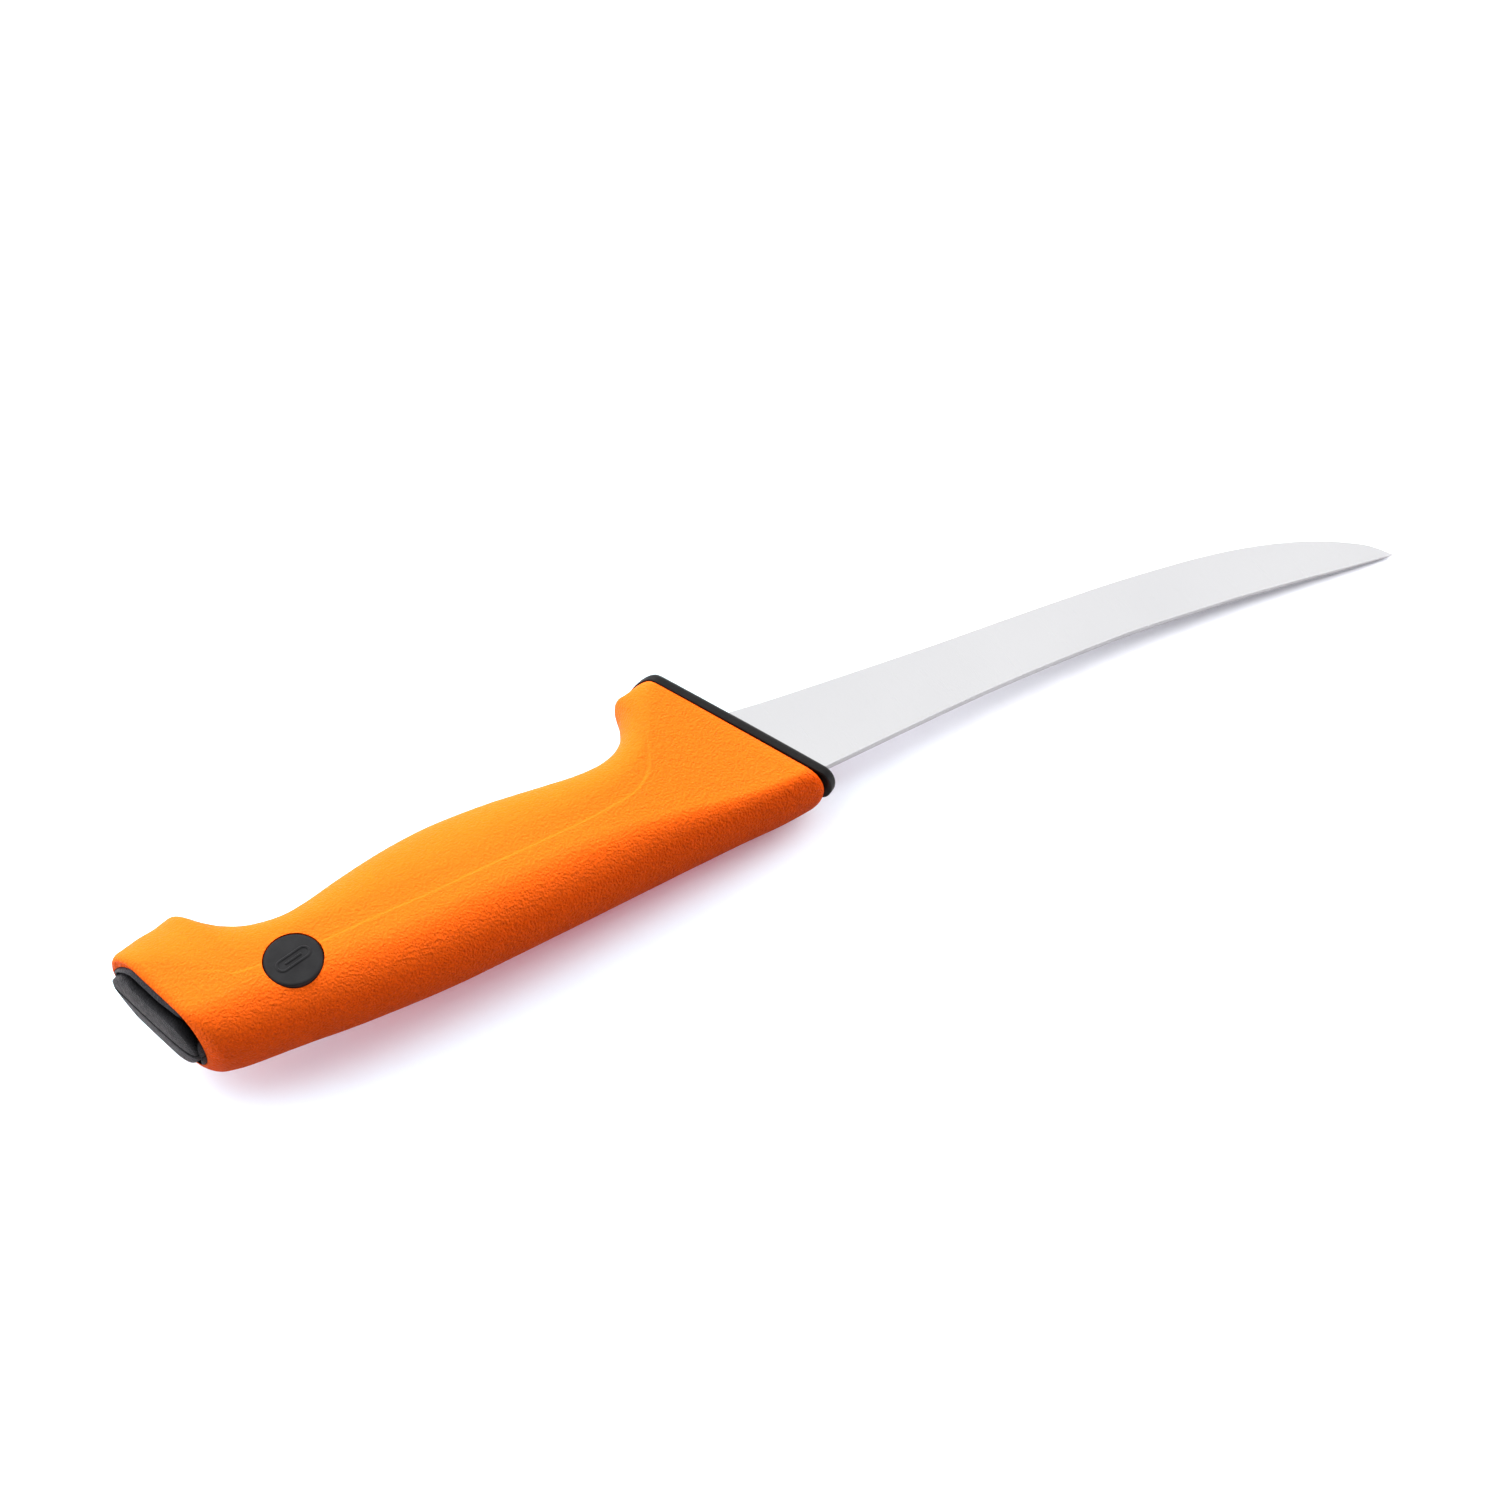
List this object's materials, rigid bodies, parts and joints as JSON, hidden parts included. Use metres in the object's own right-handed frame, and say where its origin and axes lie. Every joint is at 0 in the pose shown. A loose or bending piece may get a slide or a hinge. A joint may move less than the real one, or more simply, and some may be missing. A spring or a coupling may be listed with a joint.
{
  "type": "boning knife",
  "caption": "Boning knife with a slim upswept blade, slanted guard plate, soft contoured grip with a little-finger hook, round discs set in both flanks and a crowned cap on the slanted butt.",
  "frame": {"origin": "centre of the knife's overall box, on the blade's mid-plane", "axes": "+X from the handle to the blade's tip, +Y to the cutting edge and the finger side, +Z out of the left flank"},
  "size_m": [0.2884, 0.046, 0.0206],
  "materials": {
    "blade_steel": "finely ground satin",
    "hard_plastic": "smooth semi-matt",
    "grip_soft": "fine moulded grain",
    "cap_plastic": "grained",
    "disc_plastic": "smooth semi-matt"
  },
  "bodies": {
    "root": {"blade": "blade_steel", "handle_core": "hard_plastic", "grip_overmould": "grip_soft", "butt_cap": "cap_plastic", "emblem_disc_left": "disc_plastic", "emblem_disc_right": "disc_plastic"}
  },
  "joints": []
}
